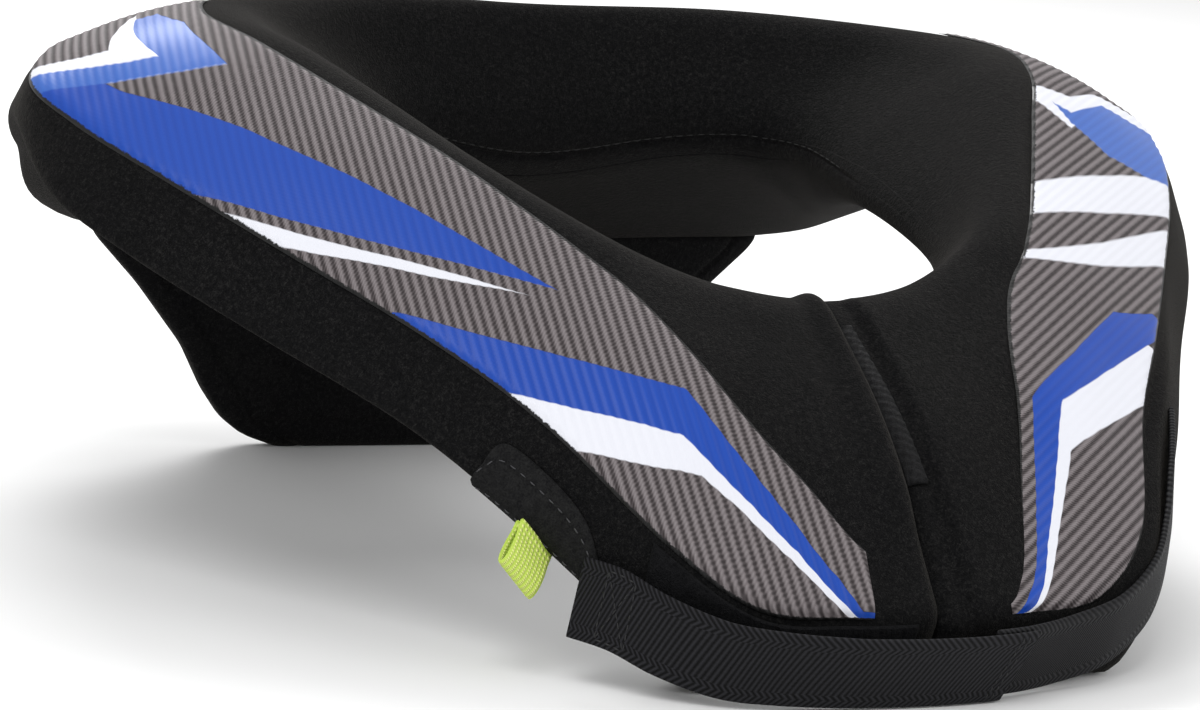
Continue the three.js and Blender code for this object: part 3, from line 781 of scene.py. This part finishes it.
def make_flap():
    """Each height is the oval x = half width * cos^(1/6), y = thickness / 2 * sin^(1/2). The lowest
    4 mm, counted on a height of FLAP_TALL, draw in along a quarter circle."""
    back = (1.19 + 1.255) / 2 * NECK_DEPTH
    lowest = ground_height(back)
    low_steps = np.array([0, .02, .06, .12, .2, .3, .42, .56, .72, .88, 1])
    share = np.concatenate([low_steps * FLAP_DRAW_LOW / FLAP_TALL, np.linspace(.08, 1, 60)])
    height = share * FLAP_TOP
    border = np.array(FLAP_BORDER)
    nearby = [np.interp(height + shift, border[:, 0], border[:, 1]) for shift in (-.012, 0, .012)]
    half = np.mean(nearby, 0) * HALF_WIDTH
    draw = np.clip(share * FLAP_TALL / FLAP_DRAW_LOW, 0, 1)
    round_in = np.sqrt(1 - (1 - draw)**2)
    top_in = np.sqrt(np.clip((1 - share) * FLAP_TALL / FLAP_DRAW_TOP, 0, 1))
    angle = np.linspace(0, math.tau, 121)[:-1]
    c, s = np.cos(angle), np.sin(angle)
    shape_x = np.sign(c) * np.abs(c)**(1 / 6)
    shape_y = np.sign(s) * np.abs(s)**(1 / 2)
    x = (half - 1.4 * (1 - round_in * top_in))[:, None] * shape_x
    from_border = half[:, None] - np.abs(x)
    from_foot = height[:, None] * RIM_HEIGHT
    line = FLAP_LINE_DEPTH * (np.exp(-((from_border - FLAP_LINE_SIDE) / FLAP_LINE_SPREAD)**2)
                              + np.exp(-((from_foot - FLAP_LINE_LOW) / FLAP_LINE_SPREAD)**2))
    thick = FLAP_THICKNESS / 2 * (.25 + .75 * round_in * np.maximum(top_in, .3))[:, None]
    y = back + (thick - line * (np.abs(s) > .1)) * shape_y
    z = np.broadcast_to(lowest + from_foot, x.shape)
    points = np.stack([x, y, z], -1)
    placed = stand(points)
    placed[..., 2] = np.maximum(placed[..., 2], 0)
    flap = make_mesh("back_tongue", placed, tube_faces(*points.shape[:2]))
    flap.data.materials.append(fleece)
    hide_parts("back_flap")
    return flap


flap = make_flap()

# %% [markdown]
# Webbing is a flat profile with round edges carried along a route. The route runs from the free
# end on the wearer's right round the front, and the webbing leans so that it lies on the lobes.

# %% Straps
STRAP_WIDTH = 19.0
STRAP_THICKNESS = 1.6
SEAM_GAP = 0.4
STRAP_SEAM_SHARE = 0.53
STRAP_OVERLAP = 9.0
STRAP_ROUTE = np.array([
    (-.496, .118, .072), (-.46, .078, .068), (-.412, .038, .041), (-.341, .003, .018),
    (-.262, -.014, .012), (-.165, -.026, .01), (-.07, -.031, .01), (.02, -.03, .01),
    (.11, -.022, .01), (.2, -.006, .014), (.308, .014, .035), (.402, .05, .08),
    (.465, .089, .135), (.53, .15, .21), (.572, .196, .255), (.604, .236, .295)]) * SIZES
STRAP_LEAN = np.array([-12, -11, -5, 5, 11, 15, 16, 16, 15, 12, 8, 3, -3, -7, -8, -9.0])
ROUTE_END = len(STRAP_ROUTE) - 1


def strap_frames(share):
    """At each share of the route: its point, the way up the webbing and the way out of it. Out is
    square to the route and level, and lean turns both about the route."""
    place = share * ROUTE_END
    point = spline(STRAP_ROUTE, place)
    ahead = (spline(STRAP_ROUTE, np.clip(place + .01, 0, ROUTE_END))
             - spline(STRAP_ROUTE, np.clip(place - .01, 0, ROUTE_END)))
    outward = unit(np.stack([ahead[:, 1], -ahead[:, 0], 0 * ahead[:, 0]], 1))
    lean = np.radians(np.interp(place, np.arange(len(STRAP_LEAN)), STRAP_LEAN))[:, None]
    level = np.array([0, 0, 1.0])
    upward = outward * np.sin(lean) + level * np.cos(lean)
    return point, upward, outward * np.cos(lean) - level * np.sin(lean)


def route_length(share):
    """Length in millimetres of the route through the given shares."""
    return float(np.linalg.norm(np.diff(spline(STRAP_ROUTE, share * ROUTE_END), axis=0), axis=1).sum())


def make_strap(name, from_share, to_share, inside, slant=0.0):
    """The profile: width up and thickness out, with half-round edges, swept along the frames."""
    t = STRAP_THICKNESS / 2
    turn = np.linspace(0, math.pi, 7)
    flat = np.linspace(t, STRAP_WIDTH - t, 14)[1:-1]
    up = np.concatenate([STRAP_WIDTH - t + t * np.sin(turn), flat[::-1], t - t * np.sin(turn), flat])
    face = np.full(len(flat), t)
    out = np.concatenate([-t * np.cos(turn), face, t * np.cos(turn), -face]) + t - inside
    share = np.linspace(from_share, to_share, 260)
    run = np.linspace(0, route_length(share), len(share))
    skewed = share[:, None] + slant * (up / STRAP_WIDTH - .5)[None, :] * smooth_step(
        to_share - .12, to_share, share)[:, None]
    point, upward, outward = strap_frames(skewed.ravel())
    grid = (len(share), len(up), 3)
    point, upward, outward = point.reshape(grid), upward.reshape(grid), outward.reshape(grid)
    cut = np.clip(np.minimum(run, run[-1] - run) / .5, 0, 1)[:, None, None]
    mid_out = t - inside
    points = (point + upward * up[None, :, None]
              + outward * (mid_out + (out - mid_out)[None, :, None] * (.45 + .55 * cut)))
    return make_mesh(name, stand(points), tube_faces(*points.shape[:2]), pairs(run, up) / 1000)


strap = make_strap("closing_webbing", 0, STRAP_SEAM_SHARE, 0, slant=.022)
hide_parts("closure_strap")
whole_route = route_length(np.linspace(0, 1, 400))
elastic = make_strap("strap_elastic_band", STRAP_SEAM_SHARE - STRAP_OVERLAP / whole_route, 1,
                     STRAP_THICKNESS + SEAM_GAP)
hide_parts("strap_elastic")
print("strap route:", round(whole_route), "mm")

# %% [markdown]
# Webbing shows fine ribs across it, and a braided edge of small chevrons along both sides. Both
# read the strap's own map, in metres: the first number runs along it and the second up it.

# %% Webbing materials
RIB_LEAN = -0.45
WEFT_PITCH = 0.0009
BRAID_PITCH = 0.0016
BRAID_START = 0.0058
BRAID_MIDDLE = 0.0072


def webbing_material(name, dark, light, rib_pitch, roughness):
    """Between the braids, waves of along + lean * up; in them, waves of along + the distance from
    the middle of the braid, which bends each line into a chevron."""
    material, tree, shader, place = new_material(name, roughness)
    along, up = read_map(tree)
    from_middle = math_node(tree, "ABSOLUTE", math_node(tree, "SUBTRACT", up, STRAP_WIDTH / 2000))
    leaning = weighted(tree, (along, 1), (up, RIB_LEAN))
    ribs = wave(tree, math_node(tree, "DIVIDE", leaning, rib_pitch))
    cross = wave(tree, math_node(tree, "DIVIDE", up, WEFT_PITCH))
    from_braid = math_node(tree, "ABSOLUTE", math_node(tree, "SUBTRACT", from_middle, BRAID_MIDDLE))
    bent = math_node(tree, "ADD", along, from_braid)
    chevron = wave(tree, math_node(tree, "DIVIDE", bent, BRAID_PITCH))
    edge = math_node(tree, "GREATER_THAN", from_middle, BRAID_START)
    body = weighted(tree, (ribs, .9), (cross, .1))
    fuzz = noise(tree, place, 1500, 2, .6)
    weave = weighted(tree, (body, rest_of(tree, edge)), (chevron, edge), (centred(tree, fuzz), .4))
    tree.links.new(ramp(tree, weave, [(.1, dark), (.95, light)]), shader.inputs["Base Color"])
    shader.inputs["Specular IOR Level"].default_value = .16
    add_bump(tree, shader, weave, 0.0003, .8)
    return material


strap.data.materials.append(
    webbing_material("black_webbing", (.0012, .0012, .0015), (.019, .019, .022), .00135, .75))
elastic.data.materials.append(
    webbing_material("black_elastic", (.0016, .0016, .0019), (.012, .012, .014), .00075, .62))
print("webbing ready")

# %% [markdown]
# The small sewn pieces lie on the skin like the panels do: a piece of the grid between two
# places and two values of q, raised a little.

# %% Pieces sewn on the skin
def skin_piece(name, own_from, own_to, q_low, q_high, lift, thickness, bumps=None, rows=90, columns=40,
               mirrored=True):
    """A thin sheet on the skin. q_low and q_high are functions of the own-side station, and bumps
    turns the standing grid, in millimetres, into extra height."""
    own_side = np.linspace(own_from, own_to, rows)
    place = LAST_STATION - own_side if mirrored else own_side
    low, high = q_low(own_side), q_high(own_side)
    q = np.linspace(low.min(), high.max(), 160)
    points, outward = skin(place, q), skin_normals(place, q)
    share = np.linspace(0, 1, columns)
    at = ((low[:, None] + share[None, :] * (high - low)[:, None]) - q[0]) / (q[1] - q[0])
    index = np.clip(np.floor(at).astype(int), 0, len(q) - 2)
    part = np.clip(at - index, 0, 1)[..., None]
    base, normals = between(points, index, part), unit(between(outward, index, part))
    from_row_end = np.minimum(np.arange(rows), rows - 1 - np.arange(rows)) / 2
    from_column_end = np.minimum(np.arange(columns), columns - 1 - np.arange(columns)) / 2
    border = np.minimum(from_row_end[:, None], from_column_end[None, :])
    high_layer = lift + thickness * (.45 + .55 * np.clip(border, 0, 1))
    if bumps is not None:
        high_layer = high_layer + bumps(stand(base) * 1000, border)
    uv = np.stack([cell_lengths(base, 0).cumsum(0), cell_lengths(base, 1).cumsum(1)], -1) / 1000
    vertices, faces, uv = shell(base, normals, lift, high_layer, uv)
    return make_mesh(name, stand(vertices), faces, uv), base, normals


def fuzz_bumps(points, border):
    """Loops of a hook-and-loop tape, the product of two sine waves about 2 mm long."""
    x, y, z = points[..., 0], points[..., 1], points[..., 2]
    return .16 * np.sin(x * 3.1 + z) * np.sin(y * 2.7 - x) * np.clip(border, 0, 1)


def constant(value):
    """A function that gives the same value at every station."""
    return lambda own_side: np.full(len(own_side), float(value))


def patch_top(own_side):
    """The patch's upper border in q: nearly straight, and bent down at both ends by exp curves."""
    return 19.3 + 2.2 * np.exp((own_side - 4.42) / .06) + .9 * np.exp((3.4 - own_side) / .10)


tape, _, _ = skin_piece("strap_loop_tape", 3.1, .3, constant(18), constant(20.4), .4, 1.2,
                        fuzz_bumps, 150, 44)
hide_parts("strap_hook_tape")
patch, patch_base, patch_normals = skin_piece(
    "sewn_suede_patch", 4.42, 3.4, patch_top, constant(22.6), .4, .9)
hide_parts("strap_patch")
hooks, _, _ = skin_piece("split_hook_strip", .05, .3, constant(10.8), constant(14.4), .4, 1.1,
                         fuzz_bumps, 24, 120, mirrored=False)
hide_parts("split_hook_tape")


def simple_cloth(name, dark, light, scale, distance, roughness, shine=0.0):
    """Suede or hook tape: clumped noise in colour and height."""
    material, tree, shader, place = new_material(name, roughness)
    coarse = noise(tree, place, scale, 3, .65)
    fine = noise(tree, place, scale * 4, 2, .6)
    mixed = weighted(tree, (coarse, .5), (fine, .5))
    tree.links.new(ramp(tree, mixed, [(.35, dark), (.7, light)]), shader.inputs["Base Color"])
    shader.inputs["Specular IOR Level"].default_value = .1 + shine
    add_bump(tree, shader, mixed, distance, .9)
    return material


tape.data.materials.append(
    simple_cloth("loop_tape", (.002, .002, .0025), (.011, .011, .012), 700, .0009, .9))
patch.data.materials.append(
    simple_cloth("black_suede", (.004, .004, .0045), (.017, .017, .017), 600, .0003, .85))
hooks.data.materials.append(
    simple_cloth("hook_strip", (.0014, .0014, .0016), (.013, .013, .014), 1100, .0006, .6, .05))
print("sewn pieces ready")

# %% [markdown]
# The pull loop is a strip of bright waffle webbing folded double, with both ends caught under the
# patch. Its side view is a drop: two legs that bulge apart and close in a round end.

# %% The pull loop
LOOP_WIDTH = 12.0
LOOP_LENGTH = 15.0
LOOP_THICKNESS = 1.1
LOOP_BELLY = 6.0
WAFFLE_LENGTH, WAFFLE_WIDTH = 0.0011, 0.0013
LOOP_PLACE, LOOP_Q, LOOP_LIFT = 3.85, 21.4, 1.7


def make_loop():
    """At turn t from 0 to pi, half width (belly / 2) sin^0.6 t cos t and drop length sin^0.9 t."""
    place, q = np.array([LAST_STATION - LOOP_PLACE]), np.array([LOOP_Q])
    root = skin(place, q)[0, 0] + skin_normals(place, q)[0, 0] * LOOP_LIFT
    down = unit(np.array([-.61, -.65, -.45]))
    along = np.array([.67, -.15, -.73])
    along = unit(along - down * (along @ down))
    across = np.cross(down, along)
    turn = np.linspace(0, math.pi, 72)

    def side_view(inset):
        belly = np.maximum((LOOP_BELLY / 2 - inset) * np.sin(turn)**.6, 0)
        half = np.maximum(belly, LOOP_THICKNESS + .15 - inset) * np.cos(turn)
        return half, (LOOP_LENGTH - inset) * np.sin(turn)**.9

    wide = np.linspace(-.5, .5, 16)
    wave_edge = 1 - .35 * np.clip((np.abs(wide) - .42) / .08, 0, 1)
    layers = []
    for inset, order in ((0, 1), (LOOP_THICKNESS, -1)):
        half, drop = side_view(inset)
        middle_half, middle_drop = side_view(LOOP_THICKNESS / 2)
        thin = wave_edge[None, ::order]
        h = middle_half[:, None] + (half - middle_half)[:, None] * thin
        d = middle_drop[:, None] + (drop - middle_drop)[:, None] * thin
        layers.append(root + across * h[..., None] + down * d[..., None]
                      + along * (wide[::order] * LOOP_WIDTH)[None, :, None])
    points = np.concatenate(layers, 1)
    run = np.linspace(0, 2 * LOOP_LENGTH + LOOP_BELLY, len(points))
    rise = np.concatenate([wide, wide[::-1]]) * LOOP_WIDTH
    loop = make_mesh("lime_pull_loop", stand(points), tube_faces(*points.shape[:2]),
                     pairs(run, rise) / 1000)
    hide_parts("pull_loop")
    return loop


def waffle_material():
    """Lime cells that rise and fall as the product of two waves, along and across the webbing."""
    material, tree, shader, place = new_material("lime_waffle", .75)
    along, across = read_map(tree)
    cells = [wave(tree, math_node(tree, "DIVIDE", value, size))
             for value, size in ((along, WAFFLE_LENGTH), (across, WAFFLE_WIDTH))]
    weave = math_node(tree, "MULTIPLY", *cells)
    lime = ramp(tree, weave, [(0, (.50, .68, .08)), (.8, (.93, .98, .34))])
    tree.links.new(lime, shader.inputs["Base Color"])
    add_bump(tree, shader, weave, .0005, .8)
    return material


loop = make_loop()
loop.data.materials.append(waffle_material())
print("loop ready")

# %% [markdown]
# Stitches are tiny spindles: one short shape repeated along a line of points. Each takes its
# direction from the line and its up from the cloth.

# %% Stitching
STITCH_RINGS = 7
STITCH_SIDES = 6
STITCH_SAG = 0.25


def stitch_row(name, path, normals, pitch, length, radius, color):
    """Spindles at equal steps of a path in table millimetres: at share t of its length a spindle
    is radius * sin^0.5(pi t) thick, round, and sunk into the cloth at both ends."""
    steps = np.linalg.norm(np.diff(path, axis=0), axis=1)
    run = np.concatenate([[0], np.cumsum(steps)])
    middle = np.arange(pitch / 2, run[-1], pitch)
    at = lambda value, grid: np.stack([np.interp(value, run, grid[:, k]) for k in range(3)], 1)
    centre, up = at(middle, path), unit(at(middle, normals))
    ahead = unit(at(np.minimum(middle + .3, run[-1]), path) - at(np.maximum(middle - .3, 0), path))
    side = np.cross(up, ahead)
    t = np.linspace(0, 1, STITCH_RINGS)
    thick = radius * np.sqrt(np.sin(np.clip(t, .02, .98) * math.pi))
    turn = np.linspace(0, math.tau, STITCH_SIDES + 1)[:-1]
    ring_up = np.cos(turn)[None, :] * thick[:, None] - STITCH_SAG * (2 * t[:, None] - 1)**2
    ring_side = np.sin(turn)[None, :] * thick[:, None]
    ring_along = np.broadcast_to((t[:, None] - .5) * length, ring_up.shape)
    local = np.stack([ring_along, ring_side, ring_up], -1).reshape(-1, 3)
    points = (centre[:, None] + local[None, :, :1] * ahead[:, None] + local[None, :, 1:2] * side[:, None]
              + local[None, :, 2:] * up[:, None])
    one = tube_faces(STITCH_RINGS, STITCH_SIDES)
    size = STITCH_RINGS * STITCH_SIDES
    faces = [[index + size * n for index in face] for n in range(len(middle)) for face in one]
    row = make_mesh(name, stand(points), faces)
    material, tree, shader, place = new_material(name + "_thread", .6)
    twist = wave(tree, dot(tree, place, (2600, 1900, 2200)))
    dark = tuple(value * .55 for value in color)
    tree.links.new(ramp(tree, twist, [(0, dark), (1, color)]), shader.inputs["Base Color"])
    add_bump(tree, shader, twist, .0001, .6)
    row.data.materials.append(material)
    return row


GREY_THREAD = (.055, .055, .06)
BLACK_THREAD = (.012, .012, .013)
SEAM_THREAD = (.006, .006, .006)
for number, column in enumerate((4, 24)):
    lifted = patch_base[3:-3, column] + patch_normals[3:-3, column] * 1.45
    stitch_row("patch_stitches_%d" % number, lifted, patch_normals[3:-3, column], 3.0, 1.7, .18,
               GREY_THREAD)


def strap_line(shares, ups):
    """Points on the outside of the webbing, and its outward directions, between given corners."""
    steps = np.linspace(0, 1, 60)
    corner = np.linspace(0, 1, len(shares))
    point, upward, outward = strap_frames(np.interp(steps, corner, shares))
    up = np.interp(steps, corner, ups)[:, None]
    return point + upward * up + outward * (STRAP_THICKNESS + .1), outward


TACK_SHARES, TACK_UPS = (.045, .088), (1.5, 17.5)
tack = [(share, up) for share in TACK_SHARES for up in TACK_UPS]
for number, (i, j) in enumerate(((0, 1), (2, 3), (0, 2), (1, 3), (0, 3), (1, 2))):
    line, outward = strap_line(*zip(tack[i], tack[j]))
    stitch_row("tack_box_%d" % number, line, outward, 2.3, 1.8, .2, BLACK_THREAD)
for number, shift in enumerate((0, .008)):
    base_share = STRAP_SEAM_SHARE - .016 - shift
    line, outward = strap_line((base_share - .011, base_share + .011), (1.2, 17.8))
    stitch_row("slanted_seam_%d" % number, line, outward, 2.0, 1.6, .2, BLACK_THREAD)

seam_places = np.linspace(8.2, LAST_STATION - 8.2, 400)
beside_seam = seam_q(seam_places) + .13
seam_path, seam_up = (
    np.stack([grid(seam_places[i:i + 1], beside_seam[i:i + 1])[0, 0] for i in range(len(seam_places))])
    for grid in (skin, skin_normals))
stitch_row("rear_seam_stitches", seam_path + seam_up * .08, seam_up, 3.0, 2.3, .15, SEAM_THREAD)
print("stitches ready")

# %% [markdown]
# The stage is a pale floor that runs out of sight, with soft light from large lamps and the sky.

# %% Floor and light
bpy.ops.mesh.primitive_plane_add(size=30)
floor = bpy.context.object
floor.name = "floor"
floor_material, _, floor_shader, _ = new_material("pale_floor", .9)
floor_shader.inputs["Base Color"].default_value = (.86, .86, .86, 1)
floor_shader.inputs["Specular IOR Level"].default_value = .1
floor.data.materials.append(floor_material)


def area_light(name, place, aim, size, power):
    """A square lamp at place that faces aim, with its power in watts."""
    data = bpy.data.lights.new(name, "AREA")
    data.size = size
    data.energy = power
    lamp = bpy.data.objects.new(name, data)
    lamp.location = place
    lamp.rotation_euler = (Vector(aim) - Vector(place)).to_track_quat("-Z", "Y").to_euler()
    scene.collection.objects.link(lamp)


area_light("key", (-.8, -.7, 1.6), (0, 0, .06), .9, 11)
area_light("rim", (.3, 1.2, 1.3), (0, 0, .1), .8, 18)
area_light("fill", (1.4, -.9, .8), (0, 0, .06), 1.2, 5)
world = bpy.data.worlds.new("sky")
world.use_nodes = True
sky = world.node_tree.nodes["Background"].inputs
sky["Color"].default_value = (1, 1, 1, 1)
sky["Strength"].default_value = .84
scene.world = world
scene.view_settings.view_transform = "Standard"
print("lights ready")
